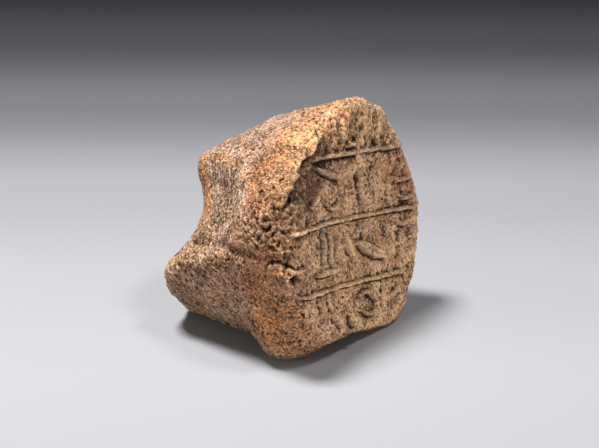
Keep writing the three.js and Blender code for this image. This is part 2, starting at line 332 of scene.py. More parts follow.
def spread_rays(directions):
    """Turns rays towards or away from the close look, so that each takes its share of the surface."""
    angles = np.linspace(0, math.pi, BANDS + 1)
    nearness = np.clip(np.cos((angles[:-1] + angles[1:]) / 2) + NEAR_SIDE, 0, 1)
    sums = np.concatenate([[0], np.cumsum(band_areas(angles) * (1 + EXTRA_FINENESS * nearness))])
    share = (1 - np.clip(directions @ CLOSE_LOOK, -1, 1)) / 2
    side = directions - (directions @ CLOSE_LOOK)[:, None] * CLOSE_LOOK
    side /= np.maximum(np.linalg.norm(side, axis=1), 1e-9)[:, None]
    angle = np.interp(share, sums / sums[-1], angles)
    return np.cos(angle)[:, None] * CLOSE_LOOK + np.sin(angle)[:, None] * side


def skin():
    directions, faces = fine_sphere()
    return meet(spread_rays(directions)), faces


def sides_of(faces):
    sides = np.concatenate([faces[:, [0, 1]], faces[:, [1, 2]], faces[:, [2, 0]]])
    return np.unique(np.sort(sides, axis=1), axis=0)


def spread(values, sides):
    """Each point's mean over its neighbours."""
    start, end = sides.T
    both, other = np.concatenate([start, end]), np.concatenate([end, start])
    count = np.bincount(both, minlength=len(values))
    return np.stack([np.bincount(both, column[other]) for column in values.T], axis=1) / count[:, None]


def normals_of(points, faces):
    a, b, c = points[faces[:, 0]], points[faces[:, 1]], points[faces[:, 2]]
    across = np.cross(b - a, c - a)
    sums = []
    for column in across.T:
        sums.append(sum(np.bincount(faces[:, k], column, len(points)) for k in range(3)))
    normals = np.stack(sums, axis=1)
    return normals / np.maximum(np.linalg.norm(normals, axis=1), 1e-12)[:, None]


# Noise.
LATTICE = 32
NOISE_GAIN = 1.6
FINER_BY = 2.1
SMALLEST_PIT = 0.35
PIT_MARGIN = 0.1
CORNERS = [vec(i, j, k) for i in (0, 1) for j in (0, 1) for k in (0, 1)]
AROUND = [vec(i, j, k) for i in (-1, 0, 1) for j in (-1, 0, 1) for k in (-1, 0, 1)]


def cells_of(q):
    cell = np.floor(q)
    return cell, q - cell


def table_at(table, cell):
    i, j, k = (cell.astype(int) % LATTICE).T
    return table[i, j, k]


def noise(p, size, seed):
    """Smooth noise, mostly from -1 to 1, with bumps of about the given size."""
    table = np.random.default_rng(seed).normal(size=(LATTICE, LATTICE, LATTICE, 3))
    table /= np.linalg.norm(table, axis=-1)[..., None]
    cell, t = cells_of(p / size)
    ease = t**3 * (t * (6 * t - 15) + 10)
    total = np.zeros(len(p))
    for corner in CORNERS:
        weight = np.prod(np.where(corner > 0, ease, 1 - ease), axis=1)
        total += weight * np.einsum("ij,ij->i", table_at(table, cell + corner), t - corner)
    return total * NOISE_GAIN


def rough(p, size, seed, octaves=3, keep=0.55):
    """Noise with finer noise upon it, each keeping a share of the last one's strength."""
    return sum(keep**k * noise(p, size / FINER_BY**k, seed + k) for k in range(octaves))


def pits(p, spacing, largest, share, seed, longness):
    """Depths from 0 to 1 of pits scattered about the given spacing apart, some longer than wide."""
    chance = np.random.default_rng(seed)
    shape = (LATTICE, LATTICE, LATTICE)
    spots = chance.uniform(PIT_MARGIN, 1 - PIT_MARGIN, (*shape, 3))
    there_is_one = chance.uniform(size=shape) < share
    sizes = np.where(there_is_one, chance.uniform(SMALLEST_PIT, 1, shape) * largest, 0)
    ways = chance.normal(size=(*shape, 3))
    ways /= np.linalg.norm(ways, axis=-1)[..., None]
    cell, t = cells_of(p / spacing)
    depth = np.zeros(len(p))
    for step in AROUND:
        there = cell + step
        size = table_at(sizes, there)
        away = (t - step - table_at(spots, there)) * spacing
        way = table_at(ways, there)
        along = np.einsum("ij,ij->i", away, way)
        held = np.clip(along, -(longness - 1) * size, (longness - 1) * size)
        distance = np.linalg.norm(away - held[:, None] * way, axis=1)
        depth = np.maximum(depth, np.where(size > 0, 1 - distance / np.maximum(size, 1e-9), 0))
    return np.clip(depth, 0, 1)


def ease_between(value, low, high):
    t = np.clip((value - low) / (high - low), 0, 1)
    return t * t * (3 - 2 * t)


def off_path(p, path):
    """The way from the nearest point of a path."""
    best = np.full(p.shape, 1e9)
    for start, end in zip(path, path[1:]):
        start, along = np.array(start, float), np.array(end, float) - np.array(start, float)
        share = np.clip((p - start) @ along / (along @ along), 0, 1)
        way = p - start - share[:, None] * along
        nearer = np.linalg.norm(way, axis=1) < np.linalg.norm(best, axis=1)
        best = np.where(nearer[:, None], way, best)
    return best


def near_path(p, path):
    """Distance to a path through the given points."""
    return np.linalg.norm(off_path(p, path), axis=1)


def beside(p, path, reach, sharpness=2):
    """1 on a path, and fading away at about the given reach from it."""
    return np.exp(-((near_path(p, path) / reach) ** sharpness))


def streaked(p, way, share):
    """Draws noise out along a direction."""
    way = unit(np.array(way, float))
    return p - (1 - share) * (p @ way)[:, None] * way


def wander(p, wanders):
    """The sum of noises, each given by how far it reaches, its size and its seed."""
    return sum(reach * noise(p, size, seed) for reach, size, seed in wanders)


def patches(p, size, seed, start, full):
    """Patches from 0 to 1, cut out of noise between two of its levels."""
    return ease_between(noise(p, size, seed), start, full)


# The stamp's relief.
def turned(v, axis, degrees):
    a = math.radians(degrees)
    return v * math.cos(a) + np.cross(axis, v) * math.sin(a)


STAMP_RIGHT = turned(FACE_RIGHT, FACE_OUT, STAMP_TURN)
STAMP_UP = turned(FACE_UP, FACE_OUT, STAMP_TURN)

# Each kind's length is a share of the row's height, its turn is in degrees, its bend is a share of its
# length, and its width and rise are shares of the usual stroke's.
KINDS = {
    "upright": dict(length=0.55, turn=95, width=1.0),
    "short": dict(length=0.4, turn=92, width=1.0),
    "tick": dict(length=0.2, turn=96, width=1.1),
    "slant": dict(length=0.28, turn=38, width=1.2),
    "falling": dict(length=0.27, turn=-63, width=1.1),
    "flat": dict(length=0.35, turn=10, width=1.1),
    "bar": dict(length=0.7, turn=2, width=1.7, rise=1.2),
    "leaning": dict(length=0.7, turn=-17, width=2.0, rise=1.2),
    "thick": dict(length=0.8, turn=-22, width=3.6, rise=1.7),
    "lump": dict(length=0.3, turn=-54, width=2.6, rise=1.3),
    "bowed": dict(length=0.42, turn=0, width=1.1, bend=-0.22),
    "arched": dict(length=0.5, turn=-18, width=1.3, bend=0.24, rise=1.2),
}
# The strokes of each row, from the top one down: shares of the face's radius to the right of its
# middle, and of the row's height above its line.
ROWS = [
    dict(short=[(-0.2, 0.38), (0.35, 0.3)], flat=[(-0.02, 0.14)], slant=[(0.1, 0.5)]),
    dict(
        leaning=[(-0.37, 0.74)],
        bowed=[(-0.3, 0.3), (0.8, 0.24)],
        arched=[(0.84, 0.36)],
        slant=[(-0.57, 0.36), (0.31, 0.68), (0.69, 0.66)],
        upright=[(0.12, 0.45)],
        short=[(0.555, 0.35)],
    ),
    dict(
        upright=[(-0.46, 0.66), (-0.345, 0.59)],
        short=[(-0.255, 0.61), (0.73, 0.46)],
        bar=[(-0.395, 0.26)],
        slant=[(0.06, 0.78), (0.9, 0.4)],
        falling=[(0.15, 0.75)],
        lump=[(-0.08, 0.6)],
        thick=[(0.28, 0.45)],
        tick=[(0.5, 0.72), (0.88, 0.6)],
        bowed=[(0.755, 0.84)],
    ),
    dict(
        tick=[(-0.385, 0.77), (-0.52, 0.8)],
        arched=[(0.19, 0.7)],
        bowed=[(0.21, 0.56)],
        upright=[(0.45, 0.61)],
        slant=[(0.645, 0.71)],
        lump=[(-0.04, 0.42), (-0.26, 0.5)],
    ),
]
RULES = 3
BEND_STEPS = 4


def under_line(row):
    return MIDDLE_RULE + (1 - row) * ROW_HEIGHT


def stroke_path(x, y, length, turn, bend=0.0):
    size = length * ROW_HEIGHT
    a = math.radians(turn)
    steps = BEND_STEPS if bend else 1
    path = []
    for step in range(steps + 1):
        share = step / steps
        along = (share - 0.5) * size
        across = bend * size * (1 - (2 * share - 1) ** 2)
        right = along * math.cos(a) - across * math.sin(a)
        up = along * math.sin(a) + across * math.cos(a)
        path.append((x + right, y + up))
    return path


def ridge(distance, width):
    """A worn ridge's height from 0 to 1."""
    return 1 - ease_between(distance, RIDGE_TOP * width, RIDGE_FOOT * width)


def stroke_height(xy, path, width):
    """A ridge along a path, narrower towards its ends."""
    height = np.zeros(len(xy))
    for index, (start, end) in enumerate(zip(path, path[1:])):
        start, along = np.array(start), np.array(end) - np.array(start)
        share = np.clip((xy - start) @ along / (along @ along), 0, 1)
        distance = np.linalg.norm(xy - start - share[:, None] * along, axis=1)
        from_middle = 2 * (index + share) / (len(path) - 1) - 1
        height = np.maximum(height, ridge(distance, width * (1 - TIP_NARROWING * from_middle**2)))
    return height


def rule_height(xy, row):
    """A dividing line, sagging to the left. The first one has a gap."""
    bent = np.clip(-xy[:, 0] - SAG_START, 0, None) / SAG_RUN
    height = ridge(np.abs(xy[:, 1] - under_line(row) + RULE_SAG * bent**2), RULE_WIDTH)
    if row == 0:
        height = height * ease_between(np.abs(xy[:, 0] - RULE_GAP), *GAP_ENDS)
    return height


def row_height(xy, index):
    """The strokes of one row."""
    height = np.zeros(len(xy))
    for name, spots in ROWS[index].items():
        kind = KINDS[name]
        width = kind["width"] * STROKE_WIDTH
        rise = kind.get("rise", 1.0) * STROKE_RISE
        for along, above in spots:
            middle = (along * FACE_RADIUS, under_line(index) + above * ROW_HEIGHT)
            path = stroke_path(*middle, kind["length"], kind["turn"], kind.get("bend", 0.0))
            height = np.maximum(height, rise * stroke_height(xy, path, width))
    return height


def stamp_relief(xy):
    height = np.zeros(len(xy))
    for row in range(RULES):
        height = np.maximum(height, RULE_RISE * rule_height(xy, row))
    for index in range(len(ROWS)):
        height = np.maximum(height, row_height(xy, index))
    return height


# The sunk floor under the first dividing line: where it starts and is full at its left and its right.
RECESS_LEFT = (-26, -18)
RECESS_RIGHT = (6, 3)
RECESS_EDGE = 0.7
RECESS_RUN = 5
RECESS_TOP = 0.4 * RULE_WIDTH


def recess(xy):
    """How far the floor is sunk under the left half of the first dividing line, from 0 to 1."""
    x, y = xy.T
    below = under_line(0) - RECESS_TOP - y
    sideways = ease_between(x, *RECESS_LEFT) * ease_between(x, *RECESS_RIGHT)
    return sideways * ease_between(below, 0, RECESS_EDGE) * np.exp(-np.clip(below, 0, None) / RECESS_RUN)


# The clay's own surface. Paths and spots are in millimetres from the middle of the face.
SHOULDER_EDGE = [
    (-2.5, -19.5, 28),
    (-3, -28.5, 26),
    (-2.6, -28.3, 22),
    (-4, -32, 18),
    (-4.8, -35, 14),
    (-9, -38.5, 12),
]
SCAR_WAY = unit(vec(0.85, 0.25, -0.35))
SCAR_PATCH = [(-2.2, -17.9, 19.3), (-1.8, -27.4, 19.9), (-1.5, -25, 14.5), (-1.9, -21.4, 16.6)]
CRACK = [(-14.4, -32.1, -33.1), (-7.7, -32.4, -31.8), (-2.4, -29.4, -31.4)]
HOLLOW_STREAKS = (-0.2, 0.35, 0.9)
LOBE_STREAKS = (0.75, -0.2, -0.64)
LOBE_MIDDLE = vec(-42, -24, -24)
LOBE_REACH = 24
CREST = [
    (-24.5, -26.2, 20.4),
    (-23, -29.6, 16.7),
    (-20.5, -33.8, 12),
    (-16, -37.9, 7.8),
    (-11.4, -39.9, 4.6),
]
CREST_SPACING = 1.5
CREST_REACH = 3.5
GROOVE = [(-44.9, -24.1, -6.9), (-30.4, -33.4, -2.8), (-20.4, -37.6, -2.8), (-9.2, -40, -2)]
NEAR_RIM = [(-9, -40, 9), (-3, -39, 5), (-3, -39, -1)]
UPPER_RIM = [(-3, 3, 37), (-4, -8, 34), (-5, -18, 29)]
ASHY_PATCH = [(-0.7, -17.5, 2.4), (0.5, -16.5, -7.4)]
RED_PATCH = [(0, 26, 8), (1.3, 34, -2), (1, 31, 14)]
PLATE_MIDDLE = vec(-2.6, -36.2, -10)
PLATE_RADIUS = 7.6
# Each small hole: its place, radius and depth.
HOLES = [
    ((-0.9, -26.0, 6.7), 1.7, 3.2),
    ((1, -37.6, -7.6), 1.8, 2.6),
    ((-7, -40.5, 8.5), 1.2, 1.6),
    ((-12, -39, 12.5), 0.8, 1.2),
]

# How far each feature reaches from its path, in millimetres.
REACHES = dict(
    near_rim=8,
    upper_rim=8,
    step=6,
    shoulder=6,
    scar=11,
    scar_patch=6,
    ashy=4,
    red=5.5,
    groove=1.6,
    crack=0.8,
)

# How deep each kind of damage and roughness goes, in millimetres.
DEPTHS = dict(
    skin=0.9,
    waves=0.5,
    dents=0.3,
    face_grit=0.22,
    knobs=0.7,
    plate_grit=0.5,
    rim_pits=1.6,
    large_pits=1.5,
    middle_pits=1.2,
    fine_pits=0.9,
    hollow_furrows=0.45,
    lobe_furrows=0.35,
    top_furrows=0.35,
    step=1.3,
    low_hollow=0.6,
    groove=1.3,
    crack=0.8,
    recess=2.0,
    plate_edge=1.1,
    beneath=0.45,
)
CREST_RISE = 0.6
PLATE_RISE = 1.0

# How edges wander: how far, the size of the noise, and its seed.
STEP_WANDER = [(0.9, 2.6, 21)]
HOLLOW_WANDER = [(0.9, 5, 22)]
SCAR_WANDER = [(4, 6, 23)]
PATCH_WANDER = [(2.5, 4, 30)]
ASH_WANDER = [(1.5, 3, 74)]
CREST_WANDER = [(0.5, 4, 28)]
HOLE_WANDER = [(0.9, 1.8, 29)]
PLATE_WANDER = [(2.0, 5, 24), (0.6, 2, 27)]
WEAR_WANDER = [(0.5, 5, 13)]
STROKE_WANDERS = [[(0.35, 3.0, 11)], [(0.35, 3.0, 12)]]

# The heights at which features start and are full, and how wide the lump's edge is.
LOW_HOLLOW = (22, 12)
STEP_HEIGHTS = (11.5, 16)
PLATE_HEIGHTS = (-17, -7)
PLATE_EDGE_HEIGHTS = (-12, -5)
PLATE_EDGE = 0.5
# How steeply the edge of a patch fades.
SHARP = 4

# Where patches lie: the size of the noise, its seed, and the levels at which they start and are full.
DARK_RIM_PATCHES = dict(size=4, seed=25, start=-0.4, full=0.3)
PITTED = dict(size=7, seed=66, start=-0.4, full=0.4)
FINELY_PITTED = dict(size=6, seed=65, start=-0.5, full=0.3)

# Unevenness of the clay, without its depth.
BROAD_WAVES = dict(size=15, seed=31, octaves=2)
SMALL_DENTS = dict(size=5, seed=41, octaves=3, keep=0.65)
FACE_GRIT = dict(size=2.4, seed=42, octaves=2, keep=0.7)
RIM_KNOBS = dict(size=2.6, seed=51, octaves=2, keep=0.8)
PLATE_GRIT = dict(size=2.2, seed=26, octaves=2)
HOLLOW_FURROWS = dict(size=1.8, seed=81, octaves=2)
LOBE_FURROWS = dict(size=1.6, seed=83, octaves=2)
TOP_FURROWS = dict(size=2.2, seed=91, octaves=3, keep=0.8)

# Pits, from the crumbly rim's to the finest.
RIM_PITS = dict(spacing=2.1, largest=0.8, share=0.65, seed=64, longness=1.6)
LARGE_PITS = dict(spacing=3.0, largest=0.8, share=0.5, seed=61, longness=2.0)
MIDDLE_PITS = dict(spacing=1.9, largest=0.55, share=0.65, seed=62, longness=1.9)
FINE_PITS = dict(spacing=1.2, largest=0.45, share=0.7, seed=63, longness=1.5)


def worn_stamp(points, xy, on_face, past_edge):
    """The stamp's relief, and a groove beneath each of its ridges, whose mask also paints shadow there.
    """
    bent = xy + np.stack([wander(points, way) for way in STROKE_WANDERS], axis=1)
    worn = np.clip(1.35 + wander(points, WEAR_WANDER), 0.5, 1.8)
    from_middle = np.linalg.norm(xy, axis=1) / FACE_RADIUS
    kept = on_face * ease_between(from_middle, 0.97, 0.88) * ease_between(past_edge, 0.5, 4)
    strokes = stamp_relief(bent)
    above = stamp_relief(bent + np.array((0, SHADE_DROP)))
    beneath = ease_between(above - strokes, 0.3 * STROKE_RISE, 0.9 * STROKE_RISE) * kept
    return np.minimum(strokes * worn * kept, MOST_RELIEF), beneath


def rim_plate(points):
    """How deep each place is in the lump at the near rim, in millimetres."""
    return -sphere(points, PLATE_MIDDLE, PLATE_RADIUS + wander(points, PLATE_WANDER))


def crest_lines(points):
    """Fine lines beside the crest of the hollow's front edge."""
    away = near_path(points, CREST) + wander(points, CREST_WANDER)
    lines = 0.5 + 0.5 * np.cos(2 * math.pi * away / CREST_SPACING)
    return np.exp(-((away / CREST_REACH) ** 2)) * lines


def small_holes(points):
    """How far each place is inside a small hole, from 0 to 1, and how deep the holes are there."""
    hole = np.zeros(len(points))
    depth = np.zeros(len(points))
    for spot, radius, deep in HOLES:
        into = -sphere(points, np.array(spot), radius + wander(points, HOLE_WANDER))
        inside = ease_between(into, -0.5, 0.7)
        depth += deep * inside
        hole = np.maximum(hole, inside)
    return hole, depth


def dark_scar(points, side, near_rim):
    """The dark clay of the scar, its inner patch and the near rim; its tone also carries painted shade
    of the overhang.
    """
    below_edge = ease_between(side, -0.5, 0.4)
    along_edge = beside(points, SHOULDER_EDGE, REACHES["scar"] + wander(points, SCAR_WANDER), SHARP)
    inner_patch = beside(points, SCAR_PATCH, REACHES["scar_patch"] + wander(points, PATCH_WANDER), SHARP)
    on_rim = 0.6 * near_rim * patches(points, **DARK_RIM_PATCHES)
    return np.maximum(below_edge * np.maximum(along_edge, inner_patch), on_rim)


def features(points, past_edge):
    """How strongly each form of the broken and worn clay shows at each place, from 0 to 1."""
    found = {}
    side = past_edge + wander(points, STEP_WANDER)
    found["near_rim"] = beside(points, NEAR_RIM, REACHES["near_rim"])
    found["scar"] = dark_scar(points, side, found["near_rim"])
    step = ease_between(side, -0.3, 0.4) * beside(points, SHOULDER_EDGE, REACHES["step"])
    found["step"] = step * ease_between(points[:, 2], *STEP_HEIGHTS)
    centre, radius = HOLLOW
    sunk = -sphere(points, centre, radius + 1.0 + wander(points, HOLLOW_WANDER))
    found["hollow"] = ease_between(sunk, -0.25, 0.35)
    found["lobe"] = ease_between(-sphere(points, LOBE_MIDDLE, LOBE_REACH), -4, 4)
    found["crest"] = crest_lines(points)
    found["plate"] = ease_between(rim_plate(points), -0.1, 0.4)
    found["upper_rim"] = beside(points, UPPER_RIM, REACHES["upper_rim"])
    return found


def crumbled(points, found):
    """How far crumbs stand up, most of all on the rim."""
    crumbs = np.abs(noise(points, 2.4, 71)) + 0.7 * np.abs(noise(points, 1.4, 72))
    coarse = found["near_rim"] * (1 - 0.8 * found["plate"]) + 0.35 * found["upper_rim"]
    return (0.3 - 0.2 * found["plate"] + 0.8 * coarse + 0.4 * found["step"]) * crumbs


def pitted(points, found):
    """The depth of the pits, which lie in patches."""
    open_rim = np.maximum(found["near_rim"] * (1 - found["plate"]), 0.8 * found["step"])
    patchy = patches(points, **PITTED) * (1 - 0.8 * found["plate"])
    depth = DEPTHS["rim_pits"] * open_rim * pits(points, **RIM_PITS)
    depth += DEPTHS["large_pits"] * patchy * pits(points, **LARGE_PITS)
    depth += DEPTHS["middle_pits"] * (0.4 + 0.6 * patchy) * pits(points, **MIDDLE_PITS)
    return depth + DEPTHS["fine_pits"] * patches(points, **FINELY_PITTED) * pits(points, **FINE_PITS)


def furrowed(points, xy, on_face, found):
    """Fine furrows along the hollow and the lobe, and above the first dividing line."""
    in_hollow = rough(streaked(points, HOLLOW_STREAKS, 0.3), **HOLLOW_FURROWS)
    in_lobe = rough(streaked(points, LOBE_STREAKS, 0.25), **LOBE_FURROWS)
    on_top = rough(streaked(points, STAMP_UP, 0.6), **TOP_FURROWS)
    above = ease_between(xy[:, 1] - under_line(0), 1, 4)
    depth = DEPTHS["hollow_furrows"] * found["hollow"] * in_hollow
    depth += DEPTHS["lobe_furrows"] * found["lobe"] * in_lobe
    return depth + DEPTHS["top_furrows"] * on_face * above * on_top


def uneven(points, on_face, found):
    """The clay's waves, dents and grit."""
    depth = DEPTHS["skin"] + DEPTHS["waves"] * rough(points, **BROAD_WAVES)
    depth += DEPTHS["dents"] * rough(points, **SMALL_DENTS)
    depth += DEPTHS["face_grit"] * on_face * rough(points, **FACE_GRIT)
    depth += DEPTHS["knobs"] * found["near_rim"] * (1 - found["plate"]) * rough(points, **RIM_KNOBS)
    return depth + DEPTHS["plate_grit"] * found["plate"] * rough(points, **PLATE_GRIT)


def sunken(points, xy, on_face, found):
    """The depth of the larger damage: the scar's step, the groove, the crack and the recess."""
    height = points[:, 2]
    depth = DEPTHS["step"] * found["step"]
    depth += DEPTHS["low_hollow"] * found["hollow"] * ease_between(height, *LOW_HOLLOW)
    depth += DEPTHS["groove"] * beside(points, GROOVE, REACHES["groove"])
    depth += DEPTHS["crack"] * beside(points, CRACK, REACHES["crack"])
    depth += DEPTHS["recess"] * on_face * recess(xy)
    depth -= CREST_RISE * found["crest"]
    depth -= PLATE_RISE * found["plate"] * ease_between(height, *PLATE_HEIGHTS)
    round_plate = np.exp(-(((rim_plate(points) + PLATE_EDGE) / PLATE_EDGE) ** 2))
    return depth + DEPTHS["plate_edge"] * round_plate * ease_between(height, *PLATE_EDGE_HEIGHTS)


def clay_surface(points, faces):
    """Lowers and roughens the form's surface, and says what each place looks like."""
    normals = normals_of(points, faces)
    xy = np.stack([points @ STAMP_RIGHT, points @ STAMP_UP], axis=1)
    past_edge = off_path(points, SHOULDER_EDGE) @ SCAR_WAY
    on_face = ease_between(normals @ FACE_OUT, 0.5, 0.85) * ease_between(points @ FACE_OUT, -6, -3)
    relief, beneath = worn_stamp(points, xy, on_face, past_edge)
    found = features(points, past_edge)
    hole, depth = small_holes(points)
    depth += uneven(points, on_face, found) - crumbled(points, found) + pitted(points, found)
    depth += furrowed(points, xy, on_face, found) + sunken(points, xy, on_face, found)
    depth += DEPTHS["beneath"] * beneath
    moved = points - normals * depth[:, None] + FACE_OUT * relief[:, None]

    # The step shapes the surface, and has no tone of its own.
    del found["step"]
    looks = dict(found, stamp=on_face, strokes=relief / STROKE_RISE, beneath=beneath, hole=hole)
    looks["pale"] = ease_between(normals[:, 2], 0.55, 0.85) * ease_between(points[:, 0], -12, -26)
    looks["shoulder"] = beside(points, SHOULDER_EDGE, REACHES["shoulder"]) * (1 - found["scar"])
    looks["ashy"] = beside(points, ASHY_PATCH, REACHES["ashy"] + wander(points, ASH_WANDER), SHARP)
    looks["red"] = beside(points, RED_PATCH, REACHES["red"], SHARP)
    return moved, looks


SMOOTHINGS = 6


def hollowness(points, faces):
    """Above 0 in small dips, and below 0 on small crests, in millimetres."""
    sides = sides_of(faces)
    smooth = points
    for _ in range(SMOOTHINGS):
        smooth = spread(smooth, sides)
    return np.einsum("ij,ij->i", smooth - points, normals_of(smooth, faces))


def fit_in_box(points, low, high):
    """Sets the form down in the solid's own place and box."""
    low, high = np.array(low) / MM, np.array(high) / MM
    least, most = points.min(axis=0), points.max(axis=0)
    share = (points - least) / (most - least)
    return (low + share * (high - low)) * MM


# Materials.
def srgb(red, green, blue):
    """A colour as it shows on screen, from 0 to 255."""
    shown = [c / 255 for c in (red, green, blue)]
    return tuple(c / 12.92 if c < 0.04045 else ((c + 0.055) / 1.055) ** 2.4 for c in shown) + (1,)


class Nodes:
    """Short names for adding and joining shader nodes."""

    def __init__(self, material):
        material.use_nodes = True
        self.tree = material.node_tree
        self.tree.nodes.clear()
        self.coordinates = self.tree.nodes.new("ShaderNodeTexCoord").outputs["Object"]

    def add(self, kind, inputs=(), **settings):
        node = self.tree.nodes.new(kind)
        for name, value in settings.items():
            setattr(node, name, value)
        for name, value in dict(inputs).items():
            self.put(node.inputs[name], value)
        return node

    def put(self, socket, value):
        if isinstance(value, bpy.types.NodeSocket):
            self.tree.links.new(value, socket)
        else:
            socket.default_value = value

    def noise(self, size, detail=3.0, roughness=0.6, vector=None):
        inputs = {"Scale": 1 / (size * MM), "Detail": detail, "Roughness": roughness}
        inputs["Vector"] = vector or self.coordinates
        return self.add("ShaderNodeTexNoise", inputs).outputs["Fac"]

    def math(self, operation, a, b):
        node = self.add("ShaderNodeMath", operation=operation)
        self.put(node.inputs[0], a)
        self.put(node.inputs[1], b)
        return node.outputs[0]

    def between(self, value, low, high, start=0.0, end=1.0):
        inputs = {"Value": value, "From Min": low, "From Max": high, "To Min": start, "To Max": end}
        return self.add("ShaderNodeMapRange", inputs).outputs["Result"]

    def tint(self, colour, tone, share):
        """Takes a colour towards a tone by a share."""
        node = self.add("ShaderNodeMix", data_type="RGBA")
        self.put(node.inputs["Factor"], share)
        self.put(node.inputs["A"], colour)
        self.put(node.inputs["B"], srgb(*tone))
        return node.outputs["Result"]

    def dot(self, way):
        """The coordinates' length along a direction."""
        inputs = {0: self.coordinates, 1: tuple(way)}
        return self.add("ShaderNodeVectorMath", inputs, operation="DOT_PRODUCT").outputs["Value"]

    def streaked(self, way, share):
        """The coordinates squeezed along a direction, so that a pattern is drawn out along it."""
        way = unit(vec(*way))
        squeeze = self.add("ShaderNodeVectorMath", {0: tuple(way * (1 - share))}, operation="SCALE")
        self.put(squeeze.inputs["Scale"], self.dot(way))
        inputs = {0: self.coordinates, 1: squeeze.outputs[0]}
        return self.add("ShaderNodeVectorMath", inputs, operation="SUBTRACT").outputs[0]

    def mask(self, name, share=1.0):
        """How strongly a look shows at each place of the mesh, times a share."""
        found = self.add("ShaderNodeAttribute", attribute_name=name).outputs["Fac"]
        return found if share == 1 else self.math("MULTIPLY", found, share)

    def finish(self, colour, **more):
        """Closes the material: the names of its other settings are written with _ for each space."""
        inputs = {name.replace("_", " "): value for name, value in more.items()}
        inputs["Base Color"] = colour
        shader = self.add("ShaderNodeBsdfPrincipled", inputs)
        self.add("ShaderNodeOutputMaterial", {"Surface": shader.outputs["BSDF"]})


# Tones of the clay as they show on screen, from 0 to 255.
WARM_CLAY = (214, 140, 88)
TAN_CLAY = (192, 146, 116)
BROWN_STAIN = (150, 94, 64)
DULL_STAIN = (126, 88, 70)
ASH = (208, 188, 172)
SCAR_CLAY_AND_SHADE = (88, 56, 38)
DARK_STREAK = (104, 70, 52)
LIGHT_STREAK = (240, 208, 178)
PAINTED_PIT_SHADE = (72, 44, 30)
PALE_GRAIN = (246, 200, 152)
PAINTED_STROKE_SHADOW = (76, 48, 34)
PAINTED_STROKE_HIGHLIGHT = (240, 204, 164)
PAINTED_DIP_SHADE = (50, 31, 22)
PALE_CREST_TONE = (238, 200, 158)
# The tones of places on the clay, in the order in which they are laid on, and how fully.
PLACES = [
    ("shoulder", (220, 156, 100), 0.75),
    ("pale", (198, 172, 156), 0.7),
    ("stamp", (232, 186, 144), 1.0),
    ("hollow", (212, 174, 150), 1.0),
    ("lobe", (228, 176, 136), 1.0),
    ("plate", (212, 154, 116), 0.6),
    ("upper_rim", (255, 188, 134), 1.0),
    ("red", (186, 122, 90), 0.7),
    ("crest", (238, 218, 196), 1.0),
    ("near_rim", (210, 138, 90), 0.5),
]
STREAK_WIDTH = 1.0
STREAK_SQUEEZE = 0.2
BUMP_DEPTH = 2.2


def clay_streaks(n):
    """Fine streaks along the hollow and the lobe, dark above 0 and light below it."""
    parts = []
    for name, way in (("hollow", HOLLOW_STREAKS), ("lobe", LOBE_STREAKS)):
        pattern = n.noise(STREAK_WIDTH, 2, 0.6, n.streaked(way, STREAK_SQUEEZE))
        parts.append(n.math("MULTIPLY", n.mask(name), n.math("SUBTRACT", pattern, 0.5)))
    return n.math("ADD", *parts)


def clay_openings(n):
    """Where small voids and finer pores open in the clay, more of them in some places."""
    crowding = n.between(n.noise(7, 2), 0.4, 0.6, -0.05, 0.05)
    crowding = n.math("SUBTRACT", crowding, n.mask("stamp", 0.01))
    voids = n.between(n.math("SUBTRACT", n.noise(1.1, 3, 0.65), crowding), 0.45, 0.37)
    fewer = n.math("MULTIPLY", crowding, 0.5)
    pores = n.between(n.math("SUBTRACT", n.noise(0.7, 2, 0.6), fewer), 0.44, 0.37)
    return voids, pores


def stained_clay(n):
    """The clay's own tones, its stains, its ash, and its dark scar, whose tone also carries painted
    shade.
    """
    colour = n.tint(srgb(*WARM_CLAY), TAN_CLAY, n.between(n.noise(12, 3), 0.42, 0.58))
    for name, tone, share in PLACES:
        colour = n.tint(colour, tone, n.mask(name, share))
    colour = n.tint(colour, BROWN_STAIN, n.between(n.noise(4.5, 4, 0.65), 0.45, 0.66, 0.0, 0.6))
    colour = n.tint(colour, DULL_STAIN, n.between(n.noise(8, 4, 0.65), 0.5, 0.66, 0.0, 0.7))
    colour = n.tint(colour, ASH, n.mask("ashy", 0.6))
    # The scar is darkened: its own dark clay, deepened as painted shade under the overhang.
    return n.tint(colour, SCAR_CLAY_AND_SHADE, n.mask("scar", 0.9))


def weathered(n, colour, streaks, voids, pores):
    """Streaks, pale grains and paler crests over the clay's tones, with painted shade in the openings,
    dips and holes, painted shadow under the strokes and painted highlight on their tops.
    """
    colour = n.tint(colour, DARK_STREAK, n.between(streaks, 0.01, 0.1, 0.0, 0.7))
    colour = n.tint(colour, LIGHT_STREAK, n.between(streaks, -0.01, -0.1, 0.0, 0.6))
    # Painted shade: the voids and pores are darkened.
    colour = n.tint(colour, PAINTED_PIT_SHADE, n.math("MULTIPLY", voids, 0.75))
    colour = n.tint(colour, PAINTED_PIT_SHADE, n.math("MULTIPLY", pores, 0.65))
    outside_scar = n.between(n.mask("scar"), 0, 1, 1, 0.3)
    grains = n.between(n.noise(0.8, 2, 0.6), 0.54, 0.64, 0.0, 0.75)
    colour = n.tint(colour, PALE_GRAIN, n.math("MULTIPLY", grains, outside_scar))
    # Painted shadow: the ground just below each stroke is darkened.
    colour = n.tint(colour, PAINTED_STROKE_SHADOW, n.mask("beneath", 0.6))
    # Painted highlight: the tops of the strokes are lightened.
    colour = n.tint(colour, PAINTED_STROKE_HIGHLIGHT, n.between(n.mask("strokes"), 0.4, 1.0, 0.0, 0.4))
    # Painted shade: small dips and the small holes are darkened.
    colour = n.tint(colour, PAINTED_DIP_SHADE, n.math("MAXIMUM", n.mask("dip"), n.mask("hole")))
    # Small crests are made paler.
    return n.tint(colour, PALE_CREST_TONE, n.mask("rise", 0.35))


